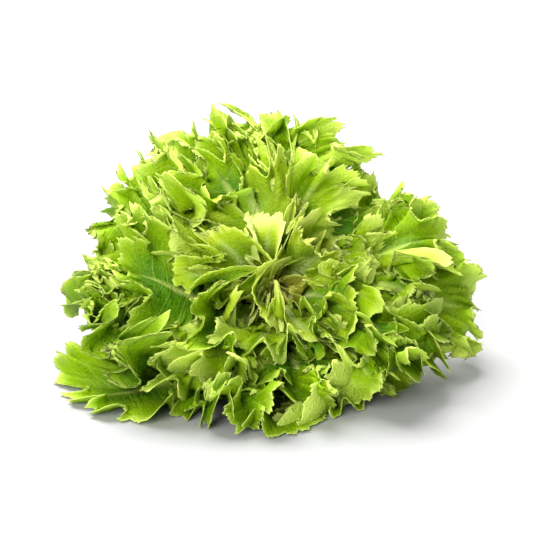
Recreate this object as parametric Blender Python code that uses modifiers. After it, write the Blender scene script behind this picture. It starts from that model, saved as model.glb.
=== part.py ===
"""A cut head of escarole, lying on its side with its open face turned forward and up.

Run with: blender --background --python part.py
Metres, +Z up. The head faces -Y and rests on the plane z = 0, with the origin at the bottom centre
of its bounding box.

The leaves are placed in polar coordinates about the crown, a point inside the top of the core:
    rho      distance from the crown
    theta    angle away from the head's axis, 0 along the axis and 180 degrees back down the core
    phi      angle round the axis, 0 towards +X and 90 degrees towards the top of the head
Every leaf is one sheet theta(rho, phi). A later leaf of the spiral has a smaller theta everywhere,
so the leaves nest in each other like bowls and never cross.
"""

import math

import bmesh
import bpy
import numpy as np
from mathutils import Matrix, Vector

# How the head lies on the table.
AXIS_RISE = math.radians(42)  # the axis points forward and this far above the table
CORE_PRESS = 0.0006  # how far the edge of the core's cut is pressed flat by the table

# The core: the short stem that all leaves grow from, cut flat below the lowest leaf.
CORE_RADIUS = 0.017
CORE_FOOT_RADIUS = 0.0160
CORE_TOP = 0.010  # the dome's top above the crown
CORE_SHOULDER = -0.006  # where the dome meets the straight sides
CORE_CUT = -0.043  # the knife cut
CORE_CHAMFER = 0.0015
CORE_STEPS = 28
DOME_STEPS = 6

# The leaves, counted from the outermost.
OUTER_LEAVES = 24
MIDDLE_LEAVES = 18
INNER_LEAVES = 15
RINGLESS_LEAVES = 5  # the first leaves don't overlap each other, so they share one level
RINGLESS_STEP = 3  # levels between them and the next leaf
GOLDEN_ANGLE = math.radians(137.508)
FIRST_AZIMUTH = math.radians(32)

# Leaf lengths, from the crown to the tip.
OUTER_REACH = 0.152
INNER_REACH = 0.086
REACH_FALL = 1.25  # how late in the spiral the leaves turn short
# Where round the axis the outer leaves have grown longer or stayed shorter:
# the direction, how wide a stretch of directions, and the change as a share of their length.
UNEVENNESS = (
    (math.radians(52), math.radians(22), -0.20),
    (math.radians(108), math.radians(30), 0.09),
    (math.radians(214), math.radians(20), 0.18),
    (math.radians(302), math.radians(24), -0.08),
)

# Angles from the axis, outermost leaf first and innermost second.
BASE_ANGLE = (math.radians(146), math.radians(30))
SPREAD_ANGLE = (math.radians(74), math.radians(13))
TIP_RECURVE = (math.radians(24), math.radians(16))
BASE_BEND = 0.017  # the length over which a leaf turns from its base to its spread angle
TOP_LEAN = 0.20  # how much less the leaves on top spread than those at the bottom

# Widths and thicknesses of the outermost leaf. The others scale with their length.
BLADE_HALF_WIDTH = 0.050
STALK_HALF_WIDTH = 0.0080
LEAST_SCALE = 0.62
MOST_WRAP = (math.radians(80), math.radians(36))  # how far round the axis half a leaf may reach
TIP_ROUNDING = 0.24  # how far the tip's corners fall short of its middle
RIB_THICKNESS = 0.0036
BLADE_THICKNESS = 0.0012
THINNING = (1.0, 0.5)  # of the outermost and the innermost leaf
RIB_FRACTION = 0.34  # of the half width that the rib takes up
RUFFLE_HEIGHT = 0.0030
RUFFLE_WAVES = 2.2
CUPPING = 0.0040

# Fits.
CORE_GAP = 0.0012  # between a leaf's base and the core
TABLE_SINK = 0.0003  # height of the lowest leaves' middle surface where they are pressed flat
TABLE_SHARPNESS = 16.0

# The heart: the closed bud of unopened leaves.
HEART_RADIUS = 0.0042
HEART_LENGTH = 0.034
HEART_STEPS = 12

SEED = 11

AXIS = Vector((0, -math.cos(AXIS_RISE), math.sin(AXIS_RISE)))
RIGHT = Vector((1, 0, 0))
UP = RIGHT.cross(-AXIS)
# The crown's height above the table, on which the edge of the core's cut rests.
CROWN_HEIGHT = CORE_FOOT_RADIUS * UP.z - (CORE_CUT + CORE_CHAMFER) * AXIS.z - CORE_PRESS
LEAF_COUNT = OUTER_LEAVES + MIDDLE_LEAVES + INNER_LEAVES


def mix(pair, t):
    """From the first value at t = 0 to the second at t = 1."""
    return pair[0] + (pair[1] - pair[0]) * t


def from_polar(rho, theta, phi):
    """The world point of polar coordinates about the crown."""
    crown = Vector((0, 0, CROWN_HEIGHT))
    sideways = RIGHT * math.cos(phi) + UP * math.sin(phi)
    return crown + (AXIS * math.cos(theta) + sideways * math.sin(theta)) * rho


def core_surface(theta):
    """Distance from the crown to the core's surface: an elliptic dome on straight sides."""
    if theta < math.pi / 2:
        return 1 / math.hypot(math.sin(theta) / CORE_RADIUS, math.cos(theta) / CORE_TOP)
    return CORE_RADIUS / math.sin(theta)


def free_angle(rho, level):
    """theta of the leaf at this level, 0 for the outermost and 1 for the innermost, with no table."""
    base_angle = mix(BASE_ANGLE, level)
    base = core_surface(base_angle)

    def spread(r):
        return mix(SPREAD_ANGLE, level) + mix(TIP_RECURVE, level) * (r / OUTER_REACH) ** 3

    bend = math.exp(-max(rho - base, 0) / BASE_BEND)
    return spread(rho) + (base_angle - spread(base)) * bend


def lying_share(rho, phi):
    """The share of theta left where the fan of leaves leans and where the table folds it up."""
    lean = 1 - TOP_LEAN * ((1 + math.sin(phi)) / 2) ** 2
    along, across = AXIS.z, UP.z * math.sin(phi)
    reach = math.hypot(along, across)
    cosine = (TABLE_SINK - CROWN_HEIGHT) / (rho * reach)
    if cosine <= -1:
        return lean
    table_angle = math.atan2(across, along) + math.acos(cosine)
    if table_angle <= 0:
        return lean
    ratio = free_angle(rho, 0) * lean / table_angle
    return lean * (1 + ratio**TABLE_SHARPNESS) ** (-1 / TABLE_SHARPNESS)


def unevenness(azimuth):
    """How much longer the outer leaves in this direction are, as a share of their length."""
    change = 0
    for direction, width, amount in UNEVENNESS:
        away = (azimuth - direction + math.pi) % (2 * math.pi) - math.pi
        change += amount * math.exp(-((away / width) ** 2))
    return change


def level_of(index):
    """A leaf's place in the nest, from 0 for the outermost to 1 for the innermost."""
    if index < RINGLESS_LEAVES:
        return 0.0
    first = RINGLESS_LEAVES - RINGLESS_STEP
    return (index - first) / (LEAF_COUNT - 1 - first)


class Leaf:
    """One leaf of the spiral and the small ways in which it differs from the others."""

    def __init__(self, index, rng):
        self.index = index
        self.level = level_of(index)
        self.azimuth = FIRST_AZIMUTH + index * GOLDEN_ANGLE
        self.reach = mix((OUTER_REACH, INNER_REACH), self.level**REACH_FALL) * rng.uniform(0.94, 1.05)
        self.reach *= 1 + unevenness(self.azimuth) * (1 - self.level)
        self.base_angle = mix(BASE_ANGLE, self.level)
        self.base = core_surface(self.base_angle) + CORE_GAP
        self.scale = max(self.reach / OUTER_REACH, LEAST_SCALE)
        self.phases = rng.uniform(0, 2 * math.pi, 2)

    def half_width(self, s):
        """Half the leaf's width at a share s of its length: a stalk that widens into the blade."""
        rise = s * s * (3 - 2 * s)
        stalk = STALK_HALF_WIDTH * mix((1.0, 0.45), self.level)
        return mix((stalk, BLADE_HALF_WIDTH * self.scale), rise) * (1 - 0.22 * s**6)

    def thickness(self, s, v):
        """The rib's thickness in the middle, thinning to the blade's at the sides and the tip."""
        rib = math.exp(-((v / RIB_FRACTION) ** 2)) * (1 - s) ** 1.2
        return mix((BLADE_THICKNESS, RIB_THICKNESS), rib) * mix(THINNING, self.level)

    def point(self, s, v):
        """World point at a share s of the length and v across, from -1 to 1."""
        length = s - TIP_ROUNDING * v * v * s**3
        rho = mix((self.base, self.reach), length)
        theta = free_angle(rho, self.level)
        theta *= lying_share(rho, self.azimuth)
        half_angle = self.half_width(s) / (rho * math.sin(theta))
        most = mix(MOST_WRAP, self.level)
        half_angle = most * math.tanh(half_angle / most)
        phi = self.azimuth + half_angle * v
        side = self.phases[0] if v < 0 else self.phases[1]
        wave = math.sin(2 * math.pi * RUFFLE_WAVES * s + side) * RUFFLE_HEIGHT
        lift = (wave * abs(v) ** 1.5 * s - CUPPING * v * v * s) * self.scale**2
        theta = free_angle(rho, self.level) + lift / rho
        return from_polar(rho, theta * lying_share(rho, phi), phi)


def link(obj, collection):
    collection.objects.link(obj)
    return obj


def new_collection(name):
    collection = bpy.data.collections.new(name)
    bpy.context.scene.collection.children.link(collection)
    return collection


def finish(name, colour, roughness):
    """A Principled material of this colour."""
    material = bpy.data.materials.new(name)
    material.use_nodes = True
    shader = material.node_tree.nodes["Principled BSDF"]
    shader.inputs["Base Color"].default_value = (*colour, 1)
    shader.inputs["Roughness"].default_value = roughness
    shader.inputs["Metallic"].default_value = 0
    return material


def make_leaf(leaf, name, rows, columns, material, collection):
    """A grid bent to the leaf's sheet, thickened round its middle and shaded smooth."""
    bm = bmesh.new()
    bmesh.ops.create_grid(bm, x_segments=columns, y_segments=rows, size=1)
    mesh = bpy.data.meshes.new(name)
    obj = link(bpy.data.objects.new(name, mesh), collection)
    weights = []
    for vertex in bm.verts:
        v, s = vertex.co.x, (vertex.co.y + 1) / 2
        weights.append(leaf.thickness(s, v) / RIB_THICKNESS)
        vertex.co = leaf.point(s, v)
    bm.to_mesh(mesh)
    bm.free()
    mesh.materials.append(material)
    mesh.shade_smooth()
    group = obj.vertex_groups.new(name="thickness")
    for index, weight in enumerate(weights):
        group.add([index], weight, "REPLACE")
    solid = obj.modifiers.new("thickness", "SOLIDIFY")
    solid.thickness = RIB_THICKNESS
    solid.offset = 0
    solid.vertex_group = group.name
    solid.thickness_vertex_group = 0
    return obj


def make_turned(name, profile, steps, material, collection):
    """A solid turned round the head's axis from (radius, height) points, top to bottom."""
    mesh = bpy.data.meshes.new(name)
    points = [(radius, 0, height) for radius, height in profile]
    mesh.from_pydata(points, [(i, i + 1) for i in range(len(points) - 1)], [])
    obj = link(bpy.data.objects.new(name, mesh), collection)
    mesh.materials.append(material)
    screw = obj.modifiers.new("turn", "SCREW")
    screw.steps = screw.render_steps = steps
    screw.use_merge_vertices = True
    screw.merge_threshold = 0.00005
    screw.use_smooth_shade = True
    turn = Matrix((RIGHT, UP, AXIS)).transposed().to_4x4()
    obj.matrix_world = Matrix.Translation((0, 0, CROWN_HEIGHT)) @ turn
    return obj


def core_profile():
    dome = []
    for i in range(DOME_STEPS + 1):
        angle = math.pi / 2 * i / DOME_STEPS
        height = CORE_SHOULDER + (CORE_TOP - CORE_SHOULDER) * math.cos(angle)
        dome.append((CORE_RADIUS * math.sin(angle), height))
    foot = [
        (CORE_FOOT_RADIUS, CORE_CUT + CORE_CHAMFER),
        (CORE_FOOT_RADIUS - CORE_CHAMFER, CORE_CUT),
        (0, CORE_CUT),
    ]
    return dome + foot


def heart_profile():
    """A slim bud, standing on the core's dome."""
    points = []
    for i in range(HEART_STEPS // 2 + 1):
        angle = math.pi * i / (HEART_STEPS // 2)
        height = CORE_TOP + CORE_GAP + HEART_LENGTH * (1 + math.cos(angle)) / 2
        points.append((HEART_RADIUS * math.sin(angle) if 0 < i < HEART_STEPS // 2 else 0, height))
    return points


def cut_flat(obj, cutter):
    """Presses the object flat where it would go below the table."""
    cut = obj.modifiers.new("table", "BOOLEAN")
    cut.operation = "DIFFERENCE"
    cut.object = cutter


def make_table_cutter(collection):
    bm = bmesh.new()
    bmesh.ops.create_cube(bm, size=1)
    mesh = bpy.data.meshes.new("table_cutter")
    bm.to_mesh(mesh)
    bm.free()
    cutter = link(bpy.data.objects.new("table_cutter", mesh), collection)
    mesh.transform(Matrix.Translation((0, 0, -0.05)) @ Matrix.Diagonal((0.6, 0.6, 0.1, 1)))
    cutter.hide_render = True
    cutter.display_type = "WIRE"
    return cutter


def leaf_names():
    """The name and grid of each leaf, outermost first."""
    kinds = [("outer", OUTER_LEAVES, 8, 6), ("middle", MIDDLE_LEAVES, 7, 6), ("inner", INNER_LEAVES, 6, 4)]
    for kind, count, rows, columns in kinds:
        for number in range(1, count + 1):
            yield f"{kind}_leaf_{number:02d}", kind, rows, columns


def world_box(objects):
    """Lowest and highest corner of the objects, modifiers included."""
    bpy.context.view_layer.update()
    graph = bpy.context.evaluated_depsgraph_get()
    corners = []
    for obj in objects:
        evaluated = obj.evaluated_get(graph)
        mesh = evaluated.to_mesh()
        points = np.empty(len(mesh.vertices) * 3)
        mesh.vertices.foreach_get("co", points)
        world = np.array(obj.matrix_world)
        corners.append(points.reshape(-1, 3) @ world[:3, :3].T + world[:3, 3])
        evaluated.to_mesh_clear()
    points = np.concatenate(corners)
    return points.min(0), points.max(0)


def main():
    for obj in list(bpy.data.objects):
        bpy.data.objects.remove(obj)
    head = new_collection("escarole")
    cutters = new_collection("cutters")
    table = make_table_cutter(cutters)
    greens = {
        "outer": finish("outer_leaf", (0.18, 0.36, 0.03), 0.42),
        "middle": finish("middle_leaf", (0.32, 0.52, 0.06), 0.42),
        "inner": finish("inner_leaf", (0.60, 0.72, 0.20), 0.42),
    }
    core_white = finish("core", (0.78, 0.80, 0.60), 0.5)
    rng = np.random.default_rng(SEED)
    parts = [
        make_turned("core", core_profile(), CORE_STEPS, core_white, head),
        make_turned("heart_bud", heart_profile(), HEART_STEPS, greens["inner"], head),
    ]
    cut_flat(parts[0], table)
    for index, (name, kind, rows, columns) in enumerate(leaf_names()):
        leaf = Leaf(index, rng)
        obj = make_leaf(leaf, name, rows, columns, greens[kind], head)
        parts.append(obj)
        lowest = min(vertex.co.z for vertex in obj.data.vertices)
        if lowest < RIB_THICKNESS:
            cut_flat(obj, table)
    low, high = world_box(parts)
    shift = Matrix.Translation((-(low[0] + high[0]) / 2, -(low[1] + high[1]) / 2, 0))
    for obj in (*parts, table):
        obj.matrix_world = shift @ obj.matrix_world


main()
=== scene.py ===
"""The looks of a cut escarole head, lying on its side with its open heart turned forward and up.

Metres, +Z up, the head facing -Y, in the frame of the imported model.
"""

import math

import bpy
import numpy as np
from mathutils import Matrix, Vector


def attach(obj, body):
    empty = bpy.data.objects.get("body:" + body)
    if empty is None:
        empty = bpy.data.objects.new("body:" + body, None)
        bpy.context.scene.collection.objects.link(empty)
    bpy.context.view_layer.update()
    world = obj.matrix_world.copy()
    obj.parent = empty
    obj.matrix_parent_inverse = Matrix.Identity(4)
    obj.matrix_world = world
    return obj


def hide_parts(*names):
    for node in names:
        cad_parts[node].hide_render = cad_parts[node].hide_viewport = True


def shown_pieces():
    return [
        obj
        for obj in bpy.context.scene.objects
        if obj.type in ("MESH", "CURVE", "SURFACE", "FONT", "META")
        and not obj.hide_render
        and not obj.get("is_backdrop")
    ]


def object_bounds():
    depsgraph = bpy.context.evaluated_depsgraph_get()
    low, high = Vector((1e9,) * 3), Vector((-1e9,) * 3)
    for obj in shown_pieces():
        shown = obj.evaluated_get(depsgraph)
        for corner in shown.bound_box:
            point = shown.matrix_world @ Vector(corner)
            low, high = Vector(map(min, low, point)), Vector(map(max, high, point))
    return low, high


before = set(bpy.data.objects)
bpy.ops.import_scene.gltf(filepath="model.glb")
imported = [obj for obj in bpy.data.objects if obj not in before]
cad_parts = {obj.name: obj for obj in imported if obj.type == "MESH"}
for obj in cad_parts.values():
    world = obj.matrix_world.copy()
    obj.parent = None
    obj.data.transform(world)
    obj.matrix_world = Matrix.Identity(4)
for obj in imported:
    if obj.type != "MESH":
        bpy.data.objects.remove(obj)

cad_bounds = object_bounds()


# The core: the short, firm stem that carries the leaves. Its flesh is pale and moist, curved scars
# run round it where old leaves were pulled off, and the knife's cut across its foot has begun to
# brown. It points along the head's axis, which the bud in the middle of the heart shows.
SEED = 7
SPIRAL_TURN = 137.5  # degrees, from one leaf or scar to the next
BUD_FOOT = 0.0112  # of the heart's bud above the crown
CORE_RADIUS, CORE_DOME = 0.017, 0.010  # of the round top that the leaves' feet stand on
CORE_FOOT_RADIUS, CORE_SHOULDER, CORE_CUT, CORE_EDGE = 0.0160, -0.006, -0.043, 0.0015
CORE_RINGS = {"dome": 14, "side": 44, "edge": 5, "cut": 21}
CORE_TURNS = 128  # points round the core
SCARS, SCAR_DEPTH, SCAR_HEIGHT, SCAR_WIDTH, SCAR_DIP = 16, 0.0009, 0.0011, 0.55, 0.0030
SCAR_SCATTER = 0.2  # of their middles, round the core
SCAR_MARGIN = 0.004  # from the scars to the shoulder and to the cut
CUT_CROWN = 0.0009  # how far the cut bulges in its middle
CUT_START, CUT_FULL = 0.0012, 0.0002  # above the cut, where its brown begins and is full
CUT_INNER_RADIUS = 0.0005
LUMP_HEIGHT, LUMPS_ROUND, LUMPS_ALONG = 0.0004, 3, 140
MARK_HEIGHT, MARKS_OUTWARD = 0.00018, 5200  # left on the cut by the knife
CORE_REST = 0.0002  # of its lowest edge above the table


def mix(pair, t):
    """From the first value at t = 0 to the second at t = 1."""
    return pair[0] + (pair[1] - pair[0]) * t


def smooth(low, high, x):
    """0 below low, 1 above high and a soft step between them."""
    t = np.clip((x - low) / (high - low), 0, 1)
    return t * t * (3 - 2 * t)


def node_points(name):
    """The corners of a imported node, one row each."""
    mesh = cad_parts[name].data
    points = np.empty(len(mesh.vertices) * 3, np.float32)
    mesh.vertices.foreach_get("co", points)
    return points.reshape(-1, 3).astype(float)


bud = node_points("heart_bud")
spans = np.linalg.norm(bud[:, None] - bud[None], axis=2)
bud_foot, bud_tip = bud[list(np.unravel_index(spans.argmax(), spans.shape))]
if bud_foot[2] > bud_tip[2]:
    bud_foot, bud_tip = bud_tip, bud_foot
AXIS = (bud_tip - bud_foot) / np.linalg.norm(bud_tip - bud_foot)  # of the core and the head
RIGHT = np.array((1.0, 0, 0))
UP = np.cross(RIGHT, -AXIS)
CROWN = bud_foot - AXIS * BUD_FOOT  # the point inside the core's top that all leaves grow from


class Value:
    """A value in a material's node tree, so that shader maths is written as maths."""

    def __init__(self, finish, socket):
        self.finish, self.socket = finish, socket

    def maths(self, operation, first, second=None):
        values = {0: first} if second is None else {0: first, 1: second}
        return self.finish.node("Math", {"operation": operation}, values)

    def __add__(self, other):
        return self.maths("ADD", self, other)

    def __sub__(self, other):
        return self.maths("SUBTRACT", self, other)

    def __rsub__(self, other):
        return self.maths("SUBTRACT", other, self)

    def __mul__(self, other):
        return self.maths("MULTIPLY", self, other)

    def __pow__(self, other):
        return self.maths("POWER", self, other)

    def __rpow__(self, other):
        return self.maths("POWER", other, self)

    __radd__, __rmul__ = __add__, __mul__


class Finish:
    """A material that is built node by node."""

    def __init__(self, name):
        self.material = bpy.data.materials.new(name)
        self.material.use_nodes = True
        self.tree = self.material.node_tree
        self.tree.nodes.clear()

    def node(self, kind, settings=None, values=None, output=0):
        """A node of this kind, its settings set before its inputs, as one of its outputs."""
        node = self.tree.nodes.new(f"ShaderNode{kind}")
        for name, setting in (settings or {}).items():
            setattr(node, name, setting)
        for name, value in (values or {}).items():
            if isinstance(value, Value):
                self.tree.links.new(value.socket, node.inputs[name])
            else:
                node.inputs[name].default_value = value
        return None if output is None else Value(self, node.outputs[output])

    def blend(self, share, first, second):
        """From the first colour to the second."""
        colours = [c if isinstance(c, Value) else (*c, 1) for c in (first, second)]
        settings = {"data_type": "RGBA", "clamp_factor": True}
        return self.node("Mix", settings, {0: share, 6: colours[0], 7: colours[1]}, 2)

    def out(self, shader):
        self.node("OutputMaterial", None, {"Surface": shader}, None)
        return self.material


def core_profile():
    """Radius and height of each ring, from the dome down the side and over the cut."""

    def steps(first, last, part):
        return np.linspace(first, last, CORE_RINGS[part] + 1)[1:]

    down = steps(0, math.pi / 2, "dome")
    dome_height = CORE_SHOULDER + (CORE_DOME - CORE_SHOULDER) * np.cos(down)
    dome = np.stack((CORE_RADIUS * np.sin(down), dome_height))
    side_height = steps(CORE_SHOULDER, CORE_CUT + CORE_EDGE, "side")
    side = np.stack((steps(CORE_RADIUS, CORE_FOOT_RADIUS, "side"), side_height))
    round_off = steps(0, math.pi / 2, "edge")
    edge = np.stack((
        CORE_FOOT_RADIUS - CORE_EDGE * (1 - np.cos(round_off)),
        CORE_CUT + CORE_EDGE * (1 - np.sin(round_off)),
    ))
    cut_radius = steps(CORE_FOOT_RADIUS - CORE_EDGE, CUT_INNER_RADIUS, "cut")
    cut = np.stack((cut_radius, np.full(CORE_RINGS["cut"], CORE_CUT)))
    return np.concatenate((dome, side, edge, cut), axis=1)


def core_mesh():
    """The core, scarred round its side, with the cut and the scars as attributes."""
    radius, height = core_profile()[:, :, None]
    turn = np.linspace(0, 2 * math.pi, CORE_TURNS, endpoint=False)[None]
    rng = np.random.default_rng(SEED)
    scar = np.zeros((len(radius), CORE_TURNS))
    for i in range(SCARS):
        middle = math.radians(SPIRAL_TURN * i) + rng.normal() * SCAR_SCATTER
        level = mix((CORE_CUT + SCAR_MARGIN, CORE_SHOULDER - SCAR_MARGIN), i / (SCARS - 1))
        away = (turn - middle + math.pi) % (2 * math.pi) - math.pi
        dip = level + SCAR_DIP * (away / SCAR_WIDTH) ** 2
        scar += np.exp(-(((height - dip) / SCAR_HEIGHT) ** 2) - (away / SCAR_WIDTH) ** 4)
    cut = smooth(CORE_CUT + CUT_START, CORE_CUT + CUT_FULL, height) + 0 * turn
    lumps = LUMP_HEIGHT * np.sin(LUMPS_ROUND * turn + LUMPS_ALONG * height) * (1 - cut)
    marks = MARK_HEIGHT * np.sin(radius * MARKS_OUTWARD + 0.8 * np.sin(2 * turn)) * cut
    round_out = radius - SCAR_DEPTH * np.minimum(scar, 1) * (1 - cut) + lumps
    rise = height + marks + CUT_CROWN * (1 - (radius / CORE_FOOT_RADIUS) ** 2) * cut
    sideways = np.cos(turn)[..., None] * RIGHT + np.sin(turn)[..., None] * UP
    points = (CROWN + AXIS * rise[..., None] + sideways * round_out[..., None]).reshape(-1, 3)
    ends = [CROWN + AXIS * CORE_DOME, CROWN + AXIS * (CORE_CUT + CUT_CROWN)]
    points = np.concatenate((points, ends))
    points[:, 2] = np.maximum(points[:, 2], CORE_REST)
    number = np.arange(len(radius) * CORE_TURNS).reshape(-1, CORE_TURNS)
    following = np.roll(number, -1, axis=1)
    sides = np.stack((number[:-1], number[1:], following[1:], following[:-1]), axis=-1)
    sides = sides.reshape(-1, 4)
    top, foot = number.size, number.size + 1
    faces = sides.tolist()
    faces += [(top, a, b) for a, b in zip(number[0], following[0])]
    faces += [(foot, b, a) for a, b in zip(number[-1], following[-1])]
    mesh = bpy.data.meshes.new("scarred_core")
    mesh.from_pydata(points, [], faces)
    shades = np.zeros((len(points), 4))
    shades[:-2, 0], shades[:-2, 1] = cut.ravel(), np.minimum(scar, 1).ravel()
    shades[-1, 0] = 1
    mesh.attributes.new("shade", "FLOAT_COLOR", "POINT").data.foreach_set("color", shades.ravel())
    mesh.shade_smooth()
    return mesh


def core_flesh():
    """Pale, moist stem flesh, greener in fine patches and brown where it was cut or torn."""
    flesh = Finish("core_flesh")
    shade = flesh.node("Attribute", {"attribute_name": "shade"}, None, "Color")
    cut, scar = (flesh.node("SeparateColor", None, {"Color": shade}, part) for part in range(2))
    place = flesh.node("TexCoord", None, None, "Object")
    grain = flesh.node("TexNoise", None, {"Vector": place, "Scale": 240.0, "Detail": 5.0}, 0)
    stains = flesh.node("TexNoise", None, {"Vector": place, "Scale": 70.0, "Detail": 3.0}, 0)
    colour = flesh.blend(grain * 1.4 - 0.3, (0.60, 0.68, 0.30), (0.84, 0.84, 0.58))
    colour = flesh.blend(scar * (stains + 0.2), colour, (0.42, 0.24, 0.09))
    colour = flesh.blend(cut * (stains * 1.5 - 0.1), colour, (0.50, 0.29, 0.12))
    bump = flesh.node("Bump", None, {"Strength": 0.5, "Distance": 0.0006, "Height": grain + stains})
    skin = flesh.node(
        "BsdfPrincipled",
        None,
        {"Base Color": colour, "Roughness": 0.34 + grain * 0.25, "Normal": bump},
    )
    return flesh.out(skin)


core = bpy.data.objects.new("scarred_core", core_mesh())
core.data.materials.append(core_flesh())
bpy.context.scene.collection.objects.link(core)
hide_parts("core")
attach(core, "root")


# How the leaves stand: all grow from the crown in a spiral, from the outside in. A point of a leaf
# has rho, its distance from the crown, theta, its angle away from the head's axis, and phi, its
# direction round the axis, from +X over the top of the head.
BASE_ANGLE = (math.radians(146), math.radians(30))  # theta at the foot, outermost and innermost
SPREAD_ANGLE = (math.radians(74), math.radians(13))  # theta along the blade
TIP_RECURVE = (math.radians(24), math.radians(16))  # further back at RECURVE_REACH from the crown
RECURVE_REACH = 0.152
BASE_BEND = 0.017  # how soon a leaf turns from its foot's angle to its blade's
TOP_LEAN = 0.20  # the share of theta that the uppermost leaves lose
TABLE_GAP = 0.0009  # under the middle of a leaf's thickness
TABLE_SHARPNESS = 16  # of the bend where the table folds a leaf up
OUTERMOST_LEAVES, LEVEL_START = 5, 2  # leaves at level 0, and the leaf that levels count from
ROOM_LOW = np.array(cad_bounds[0]) - (0.006, 0.010, 1)  # the leaves' margins stay between these
ROOM_HIGH = np.array(cad_bounds[1]) + (0.006, 0.012, 0.0095)


def from_polar(rho, theta, phi):
    """World points from their polar coordinates about the crown."""
    sideways = np.cos(phi)[..., None] * RIGHT + np.sin(phi)[..., None] * UP
    along = np.cos(theta)[..., None] * AXIS + np.sin(theta)[..., None] * sideways
    return CROWN + along * rho[..., None]


def to_polar(points):
    """Polar coordinates of world points."""
    away = points - CROWN
    rho = np.linalg.norm(away, axis=-1)
    theta = np.arccos(np.clip(away @ AXIS / rho, -1, 1))
    return rho, theta, np.arctan2(away @ UP, away @ RIGHT)


def free_angle(rho, level):
    """theta of a leaf in the air, from level 0, the outermost, to level 1, the innermost."""
    base_angle = mix(BASE_ANGLE, level)
    if base_angle < math.pi / 2:
        base = 1 / math.hypot(math.sin(base_angle) / CORE_RADIUS, math.cos(base_angle) / CORE_DOME)
    else:
        base = CORE_RADIUS / math.sin(base_angle)

    def spread(r):
        return mix(SPREAD_ANGLE, level) + mix(TIP_RECURVE, level) * (r / RECURVE_REACH) ** 3

    bend = np.exp(-np.maximum(rho - base, 0) / BASE_BEND)
    return spread(rho) + (base_angle - spread(base)) * bend


def wall_angle(rho, phi, inward, place):
    """The largest theta before the wall at this place along its inward normal, if it meets it."""
    along, across = AXIS @ inward, RIGHT @ inward * np.cos(phi) + UP @ inward * np.sin(phi)
    cosine = (place - CROWN @ inward) / (rho * np.hypot(along, across))
    angle = np.arctan2(across, along) + np.arccos(np.clip(cosine, -1, 1))
    return np.where((cosine <= -1) | (angle <= 0), 2 * math.pi, angle)


def table_angle(rho, phi):
    """The largest theta above the table."""
    return wall_angle(rho, phi, np.array((0, 0, 1.0)), TABLE_GAP)


def room_angle(rho, phi):
    """The largest theta above the table and not too far behind the head."""
    behind = wall_angle(rho, phi, np.array((0, -1.0, 0)), -ROOM_HIGH[1])
    return np.minimum(table_angle(rho, phi), behind)


def lying_share(rho, phi):
    """The share of theta left where the fan of leaves leans and where the table folds it up."""
    lean = 1 - TOP_LEAN * ((1 + np.sin(phi)) / 2) ** 2
    ratio = free_angle(rho, 0) * lean / table_angle(rho, phi)
    return lean * (1 + ratio**TABLE_SHARPNESS) ** (-1 / TABLE_SHARPNESS)


# The leaves: each is a long, limp blade on a white rib, narrow at its foot and broad near its tip.
# The blade's margin grows faster than its middle, so it is thrown into ruffles, with smaller
# ruffles on them, and its edge is cut into lobes with sharp teeth.
BLADE_HALF_WIDTH = 0.053  # of a leaf that reaches RECURVE_REACH
BLADE_WIDTHS = (0.80, 1.15)  # as shares of that, from leaf to leaf
LEAST_SCALES = {"outer": 0.62, "middle": 0.62, "inner": 0.62, "heart": 0.36}
MOST_WRAP = (math.radians(80), math.radians(36))  # how far round the axis a side reaches
STALK_HALF_WIDTH = 0.0085
STALK_SCALES = (1.0, 0.5)  # of the outermost and the innermost leaf
STALK_FLARE, FLARE_END = 1.4, 1.02  # how late the stalk widens, and where, of the way to WIDEST
WIDEST = 0.74  # where the blade is widest, as a share of its length
TIP_BLUNTNESS = 3.0  # 2 would be elliptical
PIVOT = 0.50  # the veins and ruffles fan out from this share of the length
OUTLINE_POINTS, BEND_POINTS, BEND_END = 400, 200, 1.3  # the bend runs on past the tip's teeth
BLADE_THICKNESS = (0.00070, 0.00045)  # of the outermost and the innermost leaf
RIB_THICKNESS = (0.0046, 0.0018)
RUFFLES = (  # wavelength along the margin, height, where it starts between middle and margin
    (0.040, 0.0125, 0.04),
    (0.018, 0.0076, 0.16),
    (0.0090, 0.0018, 0.62),
)
RUFFLE_GROWTH = 1.4  # how late a ruffle grows on its way to the margin
RUFFLE_SWELL, SWELL_RANGE, SWELL_PITCH = 0.75, 0.35, 2.7  # mean height, its change, its length
RUFFLED_TURNS = (math.radians(115), math.radians(168))  # from the tip, where the ruffles fade
OVERHANG = 0.085  # how far a ruffle's crest leans over, as a share of its wavelength
ROLL_PITCH, ROLL_START = 0.036, 0.50  # along the margin, and on the way to it
ROLL_TURN, LEAST_ROLL = math.radians(88), 0.02
TWIST, SWAY = 0.60, 0.32  # of the blade about its rib, and of the rib to one side
TWIST_POWER = 1.5  # how late along the leaf
FRILLS = (1.0, 1.55)  # of the ruffles' height, from leaf to leaf
LENGTHS = (0.90, 1.24)  # of the leaf along its bend, as shares of its packed length
TIP_TURNS = {  # how far the tips bend outwards
    "outer": (math.radians(-10), math.radians(50)),
    "middle": (math.radians(15), math.radians(82)),
    "inner": (math.radians(-25), math.radians(75)),
    "heart": (math.radians(-60), math.radians(70)),
}
TIP_TURN_POWER = 2.2  # how late along the leaf
LYING_ANGLES = (math.radians(3), math.radians(15))  # between a leaf's tip and the table
BACK_UNTURN = math.radians(16)  # taken off the tips that would bend too far behind the head
BACK_SHARE, BACK_SHORTENING, FITTINGS = 0.97, 0.08, 7  # of the room there, and tries to keep to it
LOBE_PITCH, LOBE_DEPTH = 0.026, 0.0070
TOOTH_PITCH, TOOTH_DEPTH = 0.0047, 0.0029
TOOTH_SHAPE = (0.0, 1.0, 0.4)  # notch, tip, slope
FOOT_SINK, FOOT_SOFTNESS = 0.003, 0.010  # into the core, and how soon that fades along the leaf
LEAST_REACH = 0.8  # of its foot's distance from the crown, that a leaf keeps everywhere
WRAP_LIMIT = 0.995  # of the most wrap, where the flat leaf is taken to end
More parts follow.
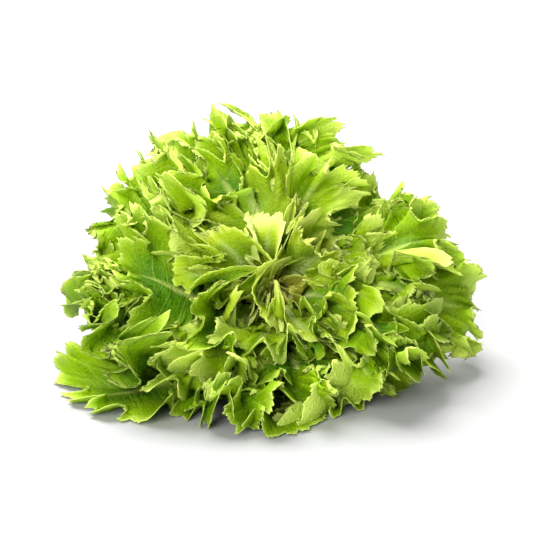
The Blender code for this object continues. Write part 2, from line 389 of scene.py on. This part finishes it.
SLOW_TURNS, WANDER = (0.21, 0.37), 0.25  # how fast and how far the ruffles' pitch wanders
LEAF_REST = 0.0002  # of the lowest leaves above the table
VEIN_PITCH = 0.011
KINDS = {"outer": 17, "middle": 15, "inner": 12, "heart": 9}  # rows of faces from rib to margin
HEART_LEAVES = 9
HEART_LENGTHS = (0.052, 0.030)  # of its outermost and its innermost leaf
HEART_LEVELS, HEART_BASE = 0.13, 0.0105  # past level 1, and of their feet from the crown


def periodic(x, pitch, rng, wander=WANDER):
    """A phase along x that turns once in about every pitch, unevenly."""
    slow = rng.uniform(*SLOW_TURNS, 2) * 2 * math.pi / pitch
    shift = np.sin(slow[0] * x + rng.uniform(0, 6)) + np.sin(slow[1] * x + rng.uniform(0, 6))
    return 2 * math.pi * (x / pitch + wander * shift) + rng.uniform(0, 2 * math.pi)


class Leaf:
    """One leaf of the spiral: its outline, its ruffles and where it lies."""

    def __init__(self, name, kind, index, level, azimuth, base, length):
        self.name, self.kind, self.level, self.azimuth, self.base = name, kind, level, azimuth, base
        self.rng = np.random.default_rng((SEED, index))
        self.scale = max((base + length) / RECURVE_REACH, LEAST_SCALES[kind])
        self.half_width = BLADE_HALF_WIDTH * self.scale * self.rng.uniform(*BLADE_WIDTHS)
        self.twist = self.rng.normal() * TWIST
        self.sway = self.rng.normal() * SWAY
        self.stalk = STALK_HALF_WIDTH * mix(STALK_SCALES, level)
        self.most = mix(MOST_WRAP, level)
        tip = np.full(1, base + length)
        tip_angle = free_angle(tip, level) * lying_share(tip, azimuth)
        self.lying = 1 - smooth(*LYING_ANGLES, table_angle(tip, azimuth) - tip_angle)[0]
        self.tip_turn = self.rng.uniform(*TIP_TURNS[kind]) * (1 - self.lying)
        self.frill = self.rng.uniform(*FRILLS)
        self.seeds = self.rng.integers(0, 2**31, len(RUFFLES) * 2)
        self.grow(length * self.rng.uniform(*LENGTHS))
        for _ in range(FITTINGS):
            around, behind = self.overreach()
            self.tip_turn -= BACK_UNTURN if behind > BACK_SHARE else 0
            self.grow(self.length / max(around, behind**BACK_SHORTENING, 1.0))

    def grow(self, length):
        """Lay out the bend and the outline of a leaf of this length."""
        self.length = length
        t = np.linspace(0, BEND_END, BEND_POINTS)
        turn = self.tip_turn * np.minimum(t, 1) ** TIP_TURN_POWER
        steps = np.stack((np.cos(turn), np.sin(turn))) * t[1] * self.length
        out, up = np.cumsum(steps, axis=1) - steps[:, :1]
        self.bend = t * self.length, out, up, turn
        self.margin_x, self.margin_y = self.outline(OUTLINE_POINTS)
        away = np.hypot(self.margin_x, self.margin_y - PIVOT * self.length)
        turn = np.arctan2(self.margin_x, self.margin_y - PIVOT * self.length)
        steps = np.hypot(np.diff(self.margin_x), np.diff(self.margin_y))
        arc = np.concatenate(([0], np.cumsum(steps)))
        self.turns, self.reaches, self.arcs = turn[::-1], away[::-1], (arc[-1] - arc)[::-1]

    def overreach(self):
        """The leaf's reach as a share of the room around the crown, and of the room behind it."""
        still = np.zeros((len(GRID_RHO), len(GRID_PHI)))
        margin = [
            lay(self, still, side * self.margin_x, self.margin_y, table_angle) for side in (-1, 1)
        ]
        away = np.concatenate(margin) - CROWN
        high, low = (away / (ROOM_HIGH - CROWN)).max(0), (away / (ROOM_LOW - CROWN)).max(0)
        return max(high[0], high[2], *low), high[1]

    def outline(self, count):
        """The right half of the margin from foot to tip, before lobes and teeth."""
        rise = np.linspace(0, 1, count)
        stalk_y = np.linspace(0, WIDEST, count // 2)
        flare = smooth(0.0, WIDEST * FLARE_END, stalk_y) ** STALK_FLARE
        stalk_x = mix((self.stalk, self.half_width), flare)
        turn = np.linspace(0, math.pi / 2, count // 2 + 1)[1:]
        tip_x = self.half_width * np.cos(turn) ** (2 / TIP_BLUNTNESS)
        tip_y = WIDEST + (1 - WIDEST) * np.sin(turn) ** (2 / TIP_BLUNTNESS)
        x, y = np.concatenate((stalk_x, tip_x)), np.concatenate((stalk_y, tip_y)) * self.length
        x[-1] = 0
        arc = np.concatenate(([0], np.cumsum(np.hypot(np.diff(x), np.diff(y)))))
        at = rise * arc[-1]
        return np.interp(at, arc, x), np.interp(at, arc, y)

    def fan(self, x, y):
        """Share of the way from pivot to margin, margin length from the tip, and direction."""
        y = y - PIVOT * self.length
        turn = np.arctan2(np.abs(x), y)
        reach = np.interp(turn, self.turns, self.reaches)
        side = np.where(x < 0, -1.0, 1.0)
        return np.hypot(x, y) / reach, np.interp(turn, self.turns, self.arcs) * side, turn

    def ruffle(self, x, y):
        """The ruffled blade's height, and its shifts along and towards the margin."""
        share, arc, turn = self.fan(x, y)
        share = np.minimum(share, 1.0)
        blade = 1 - smooth(*RUFFLED_TURNS, turn)
        blade *= self.frill
        height, lean = np.zeros_like(x), np.zeros_like(x)
        for i, (pitch, rise, start) in enumerate(RUFFLES):
            pitch, rise = pitch * self.scale**0.5, rise * self.scale
            rng = np.random.default_rng(self.seeds[i])
            phase = periodic(arc, pitch, rng)
            slow = np.sin(periodic(arc, pitch * SWELL_PITCH, rng))
            swell = RUFFLE_SWELL + SWELL_RANGE * slow
            grown = np.clip((share - start) / (1 - start), 0, 1) ** RUFFLE_GROWTH * blade * swell
            height += rise * grown * np.sin(phase)
            lean -= OVERHANG * pitch * grown**2 * np.sin(2 * phase) * (1 - self.lying)
        rolled = np.clip(share - ROLL_START, 0, 1) * np.interp(turn, self.turns, self.reaches)
        reach = (1 - ROLL_START) * np.interp(turn, self.turns, self.reaches)
        rng = np.random.default_rng(self.seeds[-1])
        roll_turn = ROLL_TURN * np.sin(periodic(arc, ROLL_PITCH * self.scale**0.5, rng)) * blade
        roll_turn = np.where(roll_turn > 0, roll_turn * (1 - self.lying), roll_turn)
        roll_turn = np.where(np.abs(roll_turn) < LEAST_ROLL, LEAST_ROLL, roll_turn)
        angle = roll_turn * rolled / reach
        height += reach / roll_turn * (1 - np.cos(angle))
        pull = reach / roll_turn * np.sin(angle) - rolled
        height += self.twist * x * np.clip(y / self.length, 0, 1) ** TWIST_POWER
        return height, lean, pull

    def place(self, x, y, height):
        """rho, phi and rise over the unbent leaf, of a point at this height over the bent one."""
        out, up, turn = (np.interp(y, self.bend[0], row) for row in self.bend[1:])
        rho = self.base + out + np.minimum(y, 0) - np.sin(turn) * height
        rho = np.maximum(rho, self.base * LEAST_REACH)
        theta = free_angle(rho, self.level) * lying_share(rho, np.full_like(rho, self.azimuth))
        half_angle = x / (rho * np.sin(theta))
        turned = self.azimuth + self.sway * (y / self.length) ** 2
        return rho, turned + self.most * np.tanh(half_angle / self.most), up + np.cos(turn) * height

    def unplace(self, rho, phi):
        """The point of the flat leaf at rho and phi, the other way round from place."""
        theta = free_angle(rho, self.level) * lying_share(rho, np.full_like(rho, self.azimuth))
        turned = self.azimuth + self.sway * np.clip((rho - self.base) / self.length, 0, 1.2) ** 2
        away = (phi - turned + math.pi) % (2 * math.pi) - math.pi
        inside = np.clip(away / self.most, -WRAP_LIMIT, WRAP_LIMIT)
        y = np.interp(rho - self.base, self.bend[1], self.bend[0]) + np.minimum(rho - self.base, 0)
        return self.most * np.arctanh(inside) * rho * np.sin(theta), y

    def theta(self, rho, phi, rise):
        """theta of a point that rises this far over the unbent leaf."""
        theta = free_angle(rho, self.level) + rise / rho
        return theta * lying_share(rho, phi)


# The leaves press on each other: on a fine grid of directions, each pair of neighbours in the
# spiral is pushed apart wherever their ruffles would cross, and the table holds up the lowest
# leaves. Each leaf is then a closed sheet, thick at its rib and thin at its toothed margin.
GRID_RHO = np.arange(0.010, 0.216, 0.002)
GRID_PHI = np.radians(np.arange(0, 360, 1.0))
LEAF_GAP = 0.0013  # between the middles of two leaves
SLACK = 0.022  # how far a leaf's pressure fades beyond its own margin
FREE_SHARE, FREE_END = 0.66, 0.35  # of the way to the margin, where the blade starts to give way
FREE_STALK = (1.1, 2.5)  # the same beside the stalk, in half-widths
NO_PRESSURE = 9.0  # more than any angle between two leaves
FIRST_PUSH = -0.002  # below the foot, where nothing is pushed
TOOTH_STEPS, TOOTH_SIZES = (0.5, 1.5), (0.35, 1.25)
CUT_TURNS = (math.radians(120), math.radians(170))  # from the tip, where lobes and teeth fade
LOBE_MIDDLE, LOBE_ROUNDNESS = 0.65, 0.7
LOBE_INSET, TOOTH_INSET = 3, 12  # how soon a lobe and a tooth fade inwards from the margin
STALK_TEETH = 0.15  # as a share of the blade's
ROW_SPACING = 1.25  # closer rows towards the margin
RIB_END = 0.80  # the last vein leaves the rib at this share of the leaf's length
VEIN_CROWDING, VEIN_RISE = 1.25, 0.25  # towards the foot, and how much the veins curve forwards
VEIN_FADE, VEIN_WANDER = 0.6, 0.15
RIB_FOOT, RIB_TIP = 0.9, 0.0012  # its half-widths, as a share of the stalk's and in metres
RIB_LENGTH, RIB_TAPER = 0.85, 0.7  # as a share of the leaf's, and how soon the rib narrows
RIB_LOSS, RIB_FADE = 0.55, (0.75, 0.95)  # of its paleness towards the tip, and where it ends
RIB_THINNING = 0.85  # towards the tip
HEART_AHEAD = 0.5  # along the axis from the crown, where the leaves' fronts face
MARGIN_THINNING, MARGIN_START = 0.6, 0.85  # of the blade, and where on the way to the margin
VEIN_WIDTH, VEIN_HEIGHTS = 0.16, (0.00015, 0.00035)  # grooved in front, raised behind
RIB_SHARES = (0.15, 0.85)  # of the rib's thickness in front and behind
MARGIN_STRIP = 0.03  # of the way in, where the margin's stretch is measured

names = [
    (f"{kind}_leaf_{number:02d}", kind)
    for kind in KINDS
    for number in range(1, sum(n.startswith(f"{kind}_leaf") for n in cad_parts) + 1)
]


def sample(field, rho, phi):
    """Values of a grid of directions at rho and phi."""
    row = np.clip((rho - GRID_RHO[0]) / (GRID_RHO[1] - GRID_RHO[0]), 0, len(GRID_RHO) - 1.001)
    column = (phi / (GRID_PHI[1] - GRID_PHI[0])) % len(GRID_PHI)
    i, j = row.astype(int), column.astype(int)
    di, dj = row - i, column - j
    j %= len(GRID_PHI)
    k = (j + 1) % len(GRID_PHI)
    low = field[i, j] * (1 - dj) + field[i, k] * dj
    return low * (1 - di) + (field[i + 1, j] * (1 - dj) + field[i + 1, k] * dj) * di


def lay(leaf, change, x, y, wall=room_angle):
    """World points of the ruffled, pressed leaf over points of the flat one."""
    y = y - FOOT_SINK * np.exp(-y / FOOT_SOFTNESS)
    height, lean, pull = leaf.ruffle(x, y)
    turn = np.arctan2(x, y - PIVOT * leaf.length)
    shift_x = np.cos(turn) * lean + np.sin(turn) * pull
    shift_y = np.cos(turn) * pull - np.sin(turn) * lean
    rho, phi, rise = leaf.place(x + shift_x, y + shift_y, height)
    theta = leaf.theta(rho, phi, rise) + sample(change, *leaf.place(x, y, 0)[:2])
    return from_polar(rho, np.minimum(theta, wall(rho, phi)), phi)


leaves = []
for i, (name, kind) in enumerate(names):
    level = (i - LEVEL_START) / (len(names) - 1 - LEVEL_START)
    level = 0.0 if i < OUTERMOST_LEAVES else level
    rho, _, phi = to_polar(node_points(name))
    azimuth = math.atan2(np.sin(phi).mean(), np.cos(phi).mean())
    leaves.append(Leaf(name, kind, i, level, azimuth, rho.min(), rho.max() - rho.min()))
for i in range(HEART_LEAVES):
    level = 1 + HEART_LEVELS * (i + 1) / HEART_LEAVES
    length = mix(HEART_LENGTHS, i / (HEART_LEAVES - 1))
    azimuth = leaves[-1].azimuth + math.radians(SPIRAL_TURN)
    leaves.append(Leaf("heart_bud", "heart", len(leaves), level, azimuth, HEART_BASE, length))


def press_leaves():
    """Each leaf's change of theta on the grid that parts it from its neighbours."""
    rho, phi = np.meshgrid(GRID_RHO, GRID_PHI, indexing="ij")
    start, slack = [], []
    for leaf in leaves:
        x, y = leaf.unplace(rho, phi)
        share, _, _ = leaf.fan(x, y)
        rise = leaf.place(x, y, leaf.ruffle(x, y)[0])[2]
        start.append(leaf.theta(rho, phi, rise))
        outside = smooth(FREE_SHARE, FREE_SHARE + FREE_END, share)
        outside = outside + (y < FIRST_PUSH) + (y > leaf.length * BEND_END)
        beside = np.abs(x) / np.interp(y, leaf.margin_y, leaf.margin_x)
        beside = smooth(*FREE_STALK, beside)
        low_blade = y < PIVOT * leaf.length
        outside = np.where(low_blade, np.maximum(beside, y < FIRST_PUSH), outside)
        slack.append(np.where(outside >= 1, NO_PRESSURE, SLACK * outside / rho))
    room, gap = room_angle(rho, phi), LEAF_GAP / rho
    pushed_in, pushed_out = [], []
    cap = room
    for theta, loose in zip(start, slack):
        pushed_in.append(np.minimum(theta, cap - gap))
        cap = np.minimum(cap, pushed_in[-1] + loose)
    floor = np.zeros_like(rho)
    for theta, loose in zip(start[::-1], slack[::-1]):
        pushed_out.append(np.maximum(theta, floor + gap))
        floor = np.maximum(floor, pushed_out[-1] - loose)
    cap = room
    changes = []
    for theta, inward, outward, loose in zip(start, pushed_in, pushed_out[::-1], slack):
        settled = np.minimum((inward + outward) / 2, cap - gap)
        cap = np.minimum(cap, settled + loose)
        changes.append(settled - theta)
    return changes


def run_along(points):
    """Length along a row of points, from its first one."""
    return np.concatenate(([0], np.cumsum(np.linalg.norm(np.diff(points, axis=0), axis=1))))


def leaf_sheet(leaf, change):
    """The leaf's middle surface as rows of columns, with what its material and thickness need."""
    rows, rng = KINDS[leaf.kind], leaf.rng
    sides = [lay(leaf, change, side * leaf.margin_x, leaf.margin_y)[::-1] for side in (-1, 1)]
    run = (run_along(sides[0]) + run_along(sides[1])) / 2  # from tip to foot
    teeth = max(round(run[-1] / TOOTH_PITCH), 6)
    columns = len(TOOTH_SHAPE) * teeth
    steps = rng.uniform(*TOOTH_STEPS, teeth).repeat(len(TOOTH_SHAPE))
    ends = np.concatenate(([0], np.cumsum(steps)))
    ends *= run[-1] / ends[-1]
    half_y = np.interp(ends, run, leaf.margin_y[::-1])
    half_x = np.interp(ends, run, leaf.margin_x[::-1])
    along = np.concatenate((half_y[::-1], half_y[1:]))  # foot, left margin, tip, right margin, foot
    aside = np.concatenate((-half_x[::-1], half_x[1:]))
    arc = np.concatenate((-ends[::-1], ends[1:]))
    turn = np.arctan2(np.abs(aside), along - PIVOT * leaf.length)
    cut = 1 - smooth(*CUT_TURNS, turn)
    lobe = np.abs(np.sin(periodic(arc, LOBE_PITCH * leaf.scale**0.5, rng) / 2)) ** LOBE_ROUNDNESS
    tooth = np.append(np.tile(TOOTH_SHAPE, teeth * 2), TOOTH_SHAPE[0])
    size = np.append(rng.uniform(*TOOTH_SIZES, teeth * 2).repeat(len(TOOTH_SHAPE)), 0)
    edge = [
        lay(leaf, change, aside * share, leaf.length * PIVOT * (1 - share) + along * share)
        for share in (1 - MARGIN_STRIP, 1.0)
    ]
    flat = MARGIN_STRIP * np.hypot(aside, along - PIVOT * leaf.length)
    stretch = np.maximum(np.linalg.norm(edge[1] - edge[0], axis=1) / flat, 1.0)
    lobe_push = (lobe - LOBE_MIDDLE) * LOBE_DEPTH * leaf.scale * cut / stretch**0.5
    toothed = STALK_TEETH + (1 - STALK_TEETH) * cut
    tooth_push = tooth * size * TOOTH_DEPTH * leaf.scale**0.5 * toothed / stretch
    out_x, out_y = np.gradient(along), -np.gradient(aside)
    norm = np.hypot(out_x, out_y) + 1e-9
    out_x, out_y = out_x / norm, out_y / norm
    if out_x[columns + columns // 2] < 0:
        out_x, out_y = -out_x, -out_y
    t = np.linspace(0, 1, rows + 1)[:, None]
    m = 1 - (1 - t) ** ROW_SPACING  # 0 on the rib, 1 on the margin
    rib_y = leaf.length * (RIB_END * (along / leaf.length) ** VEIN_CROWDING)
    x = aside * m
    y = rib_y + (along - rib_y) * ((1 - VEIN_RISE) * m + VEIN_RISE * m * m)
    push = lobe_push * m**LOBE_INSET + tooth_push * m**TOOTH_INSET
    x = x + out_x * push
    y = y + out_y * push
    points = lay(leaf, change, x, y)
    tapered = np.clip(y / (RIB_LENGTH * leaf.length), 0, 1) ** RIB_TAPER
    rib_half = mix((leaf.stalk * RIB_FOOT, RIB_TIP), tapered)
    rib = np.exp(-((x / rib_half) ** 2)) * (1 - RIB_LOSS * np.clip(y / leaf.length, 0, 1))
    rib *= 1 - smooth(*RIB_FADE, y / leaf.length)
    vein = np.abs(np.sin(periodic(arc, VEIN_PITCH, rng, VEIN_WANDER) / 2))
    vein = np.exp(-((vein / VEIN_WIDTH) ** 2)) * (1 - m) ** VEIN_FADE
    return points, m + 0 * x, rib, vein, y / leaf.length


def leaf_mesh(leaf, change):
    """Front and back of the leaf, joined round the margin, with its shades as attributes."""
    points, m, rib, vein, along = leaf_sheet(leaf, change)
    rows, columns = points.shape[0], points.shape[1]
    half = columns // 2
    number = np.arange(rows * columns).reshape(rows, columns)
    number[0, half + 1:] = number[0, :half][::-1]  # both sides share the rib's line
    quads = np.stack(
        (number[:-1, :-1], number[1:, :-1], number[1:, 1:], number[:-1, 1:]), axis=-1
    ).reshape(-1, 4)
    flat = points.reshape(-1, 3)
    across = np.cross(flat[quads[:, 2]] - flat[quads[:, 0]], flat[quads[:, 3]] - flat[quads[:, 1]])
    normals = np.zeros_like(flat)
    for corner in range(4):
        np.add.at(normals, quads[:, corner], across)
    normals /= np.linalg.norm(normals, axis=1)[:, None] + 1e-12
    blade = mix(BLADE_THICKNESS, leaf.level)
    thinned = 1 - RIB_THINNING * np.clip(along, 0, 1).reshape(-1)
    thick_rib = mix(RIB_THICKNESS, leaf.level) * thinned
    rib, vein, edge = rib.reshape(-1), vein.reshape(-1), m.reshape(-1)
    thin = blade * (1 - MARGIN_THINNING * smooth(MARGIN_START, 1.0, edge))
    facing = np.sign((normals * (CROWN + AXIS * HEART_AHEAD - flat)).sum(1).mean()) or 1.0
    before = thin / 2 + RIB_SHARES[0] * thick_rib * rib - VEIN_HEIGHTS[0] * vein
    behind = thin / 2 + RIB_SHARES[1] * thick_rib * rib + VEIN_HEIGHTS[1] * vein
    front = flat + normals * (facing * before)[:, None]
    back = flat - normals * (facing * behind)[:, None]
    count = len(flat)
    right_foot, left_foot = number[1:-1, -1][::-1], number[1:-1, 0]
    rim = np.concatenate((number[-1], right_foot, [number[0, 0]], left_foot))
    following = np.roll(rim, -1)
    band = np.stack((rim, following, following + count, rim + count), axis=1)
    faces = np.concatenate((quads, quads[:, ::-1] + count, band[:, ::-1]))
    used, faces = np.unique(faces, return_inverse=True)
    mesh = bpy.data.meshes.new(f"frilled_{leaf.name}")
    solid = np.concatenate((front, back))[used]
    solid[:, 2] = np.maximum(solid[:, 2], LEAF_REST)
    mesh.from_pydata(solid, [], faces.reshape(-1, 4).tolist())
    tone = np.full(count, leaf.rng.uniform(0, 1))
    shades = np.stack((edge, rib, vein, tone), axis=1)
    shades = np.concatenate((shades, shades))[used].ravel().astype(np.float32)
    shade = mesh.attributes.new("shade", "FLOAT_COLOR", "POINT")
    shade.data.foreach_set("color", shades)
    if facing < 0:
        mesh.flip_normals()
    mesh.shade_smooth()
    return mesh


LEAF_COLOURS = {  # deep green, fresh green, pale rib; the blend also paints the fresh and pale greens towards the margins as painted highlight, and the deep green near the rib as painted shade
    "outer": ((0.045, 0.170, 0.000), (0.49, 0.75, 0.002), (0.77, 0.91, 0.18)),
    "middle": ((0.078, 0.250, 0.000), (0.60, 0.82, 0.006), (0.83, 0.93, 0.25)),
    "inner": ((0.180, 0.375, 0.001), (0.76, 0.88, 0.04), (0.90, 0.95, 0.38)),
    "heart": ((0.28, 0.30, 0.010), (0.78, 0.76, 0.10), (0.90, 0.88, 0.42)),
}
# A painted rim light: the pale colour painted along every leaf's margin, standing in for light
# shining through the edges from behind.
PAINTED_RIM_LIGHT = (0.83, 0.93, 0.25)
STALK_COLOUR = (0.80, 0.86, 0.52)
TRANSLUCENCE = 0.36


def leaf_finish(kind):
    """Waxy leaf skin: green between pale veins, mottled, finely wrinkled and lit from behind, with
    painted highlight towards its margins and painted shade near its rib.
    """
    deep, fresh, pale = LEAF_COLOURS[kind]
    leaf = Finish(f"{kind}_leaf")
    shade = leaf.node("Attribute", {"attribute_name": "shade"}, None, "Color")
    tone = leaf.node("Attribute", {"attribute_name": "shade"}, None, "Alpha")
    edge, rib, vein = (
        leaf.node("SeparateColor", None, {"Color": shade}, part) for part in range(3)
    )
    place = leaf.node("TexCoord", None, None, "Object")

    def noise(scale, detail):
        return leaf.node("TexNoise", None, {"Vector": place, "Scale": scale, "Detail": detail}, 0)

    patches, mottle = noise(28, 3), noise(170, 4)
    # Painted light: the edge term paints the blade lighter and paler towards its margin, a painted
    # highlight on the folded edges, and darker near its rib, a painted shade in the blade's hollow.
    # Tone, patches and mottle are the leaf's own colour.
    fresh_and_painted_light_share = tone * 0.6 + patches * 0.9 + mottle * 0.25 + edge * 0.7 - 0.84
    colour = leaf.blend(fresh_and_painted_light_share, deep, fresh)
    colour = leaf.blend((tone + patches + edge) * 1.6 - 2.9, colour, pale)
    net = leaf.node(
        "TexVoronoi", {"feature": "DISTANCE_TO_EDGE"}, {"Vector": place, "Scale": 300.0}, "Distance"
    )
    threads = leaf.node("MapRange", None, {0: net, 1: 0.0, 2: 0.09, 3: 1.0, 4: 0.0})
    colour = leaf.blend(threads * 0.06 + vein * 0.38, colour, pale)
    colour = leaf.blend(rib * 0.95, colour, pale)
    colour = leaf.blend(rib * 2.6 - 1.7, colour, STALK_COLOUR)
    # Painted rim light: a pale band painted right at the margin, standing in for backlight through
    # the edges.
    colour = leaf.blend(edge**22.0 * 0.7, colour, PAINTED_RIM_LIGHT)
    wrinkles = mottle * 0.6 + net * 2.2 + noise(620, 2) * 0.2
    bump = leaf.node("Bump", None, {"Strength": 0.55, "Distance": 0.0009, "Height": wrinkles})
    skin = leaf.node(
        "BsdfPrincipled",
        None,
        {
            "Base Color": colour,
            "Roughness": 0.30 + mottle * 0.16,
            "Normal": bump,
            "Specular IOR Level": 0.11,
        },
    )
    through = leaf.node("BsdfTranslucent", None, {"Color": colour, "Normal": bump})
    return leaf.out(leaf.node("MixShader", None, {0: TRANSLUCENCE, 1: skin, 2: through}))


changes = press_leaves()
finishes = {kind: leaf_finish(kind) for kind in KINDS}
heart = []
for leaf, change in zip(leaves, changes):
    mesh = leaf_mesh(leaf, change)
    mesh.materials.append(finishes[leaf.kind])
    blade = bpy.data.objects.new(mesh.name, mesh)
    bpy.context.scene.collection.objects.link(blade)
    if leaf.kind == "heart":
        heart.append(blade)
        continue
    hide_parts(leaf.name)
    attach(blade, "root")

with bpy.context.temp_override(active_object=heart[0], selected_editable_objects=heart):
    bpy.ops.object.join()
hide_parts("heart_bud")
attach(heart[0], "root")


# The table and the room: a white sweep under soft light from above and the left.
TABLE_SIZE, ROOM_LIGHT = 12, 0.40
bpy.ops.mesh.primitive_plane_add(size=TABLE_SIZE, location=(0, 0, 0))
floor = bpy.context.object
floor.name = "table"
sheet = Finish("table_white")
paint = {"Base Color": (0.365, 0.365, 0.365, 1), "Roughness": 0.9}
floor.data.materials.append(sheet.out(sheet.node("BsdfPrincipled", None, paint)))
floor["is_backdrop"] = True

world = bpy.data.worlds.new("room")
bpy.context.scene.world = world
world.use_nodes = True
background = world.node_tree.nodes["Background"].inputs
background["Color"].default_value, background["Strength"].default_value = (1, 1, 1, 1), ROOM_LIGHT


def soft_light(name, place, spread, strength):
    """A lamp that shines from this direction, as wide as spread, in degrees."""
    lamp = bpy.data.lights.new(name, "SUN")
    lamp.angle, lamp.energy = math.radians(spread), strength
    light = bpy.data.objects.new(name, lamp)
    light.rotation_euler = (-Vector(place)).to_track_quat("-Z", "Y").to_euler()
    bpy.context.scene.collection.objects.link(light)


soft_light("key", place=(-0.32, 0.58, 1.40), spread=50, strength=7.1)
soft_light("fill", place=(-0.5, -1.2, 0.75), spread=35, strength=3.8)

bpy.context.scene.view_settings.view_transform = "Standard"


# The camera looks at the open heart, a little from above.
CAMERA_RISE = math.radians(18)
CAMERA_AWAY = 1.25
SENSOR_WIDTH = 36
FILLED_SHARE = 0.8074  # of the frame's width that the head fills
back = np.array((0, -math.cos(CAMERA_RISE), math.sin(CAMERA_RISE)))
lift = np.array((0, math.sin(CAMERA_RISE), math.cos(CAMERA_RISE)))
corners = np.concatenate([
    np.array([v.co for v in piece.data.vertices]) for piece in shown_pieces() if piece.type == "MESH"
])
middle = (corners.min(0) + corners.max(0)) / 2
for _ in range(3):
    nearness = CAMERA_AWAY / (CAMERA_AWAY - (corners - middle) @ back)
    across, upward = (corners - middle) @ RIGHT * nearness, (corners - middle) @ lift * nearness
    middle += RIGHT * (across.min() + across.max()) / 2 + lift * (upward.min() + upward.max()) / 2
camera = bpy.data.objects.new("camera", bpy.data.cameras.new("camera"))
camera.location = middle + back * CAMERA_AWAY
camera.rotation_euler = (math.pi / 2 - CAMERA_RISE, 0, 0)
camera.data.sensor_width = SENSOR_WIDTH
camera.data.lens = SENSOR_WIDTH * CAMERA_AWAY * FILLED_SHARE / (across.max() - across.min())
bpy.context.scene.collection.objects.link(camera)
bpy.context.scene.camera = camera
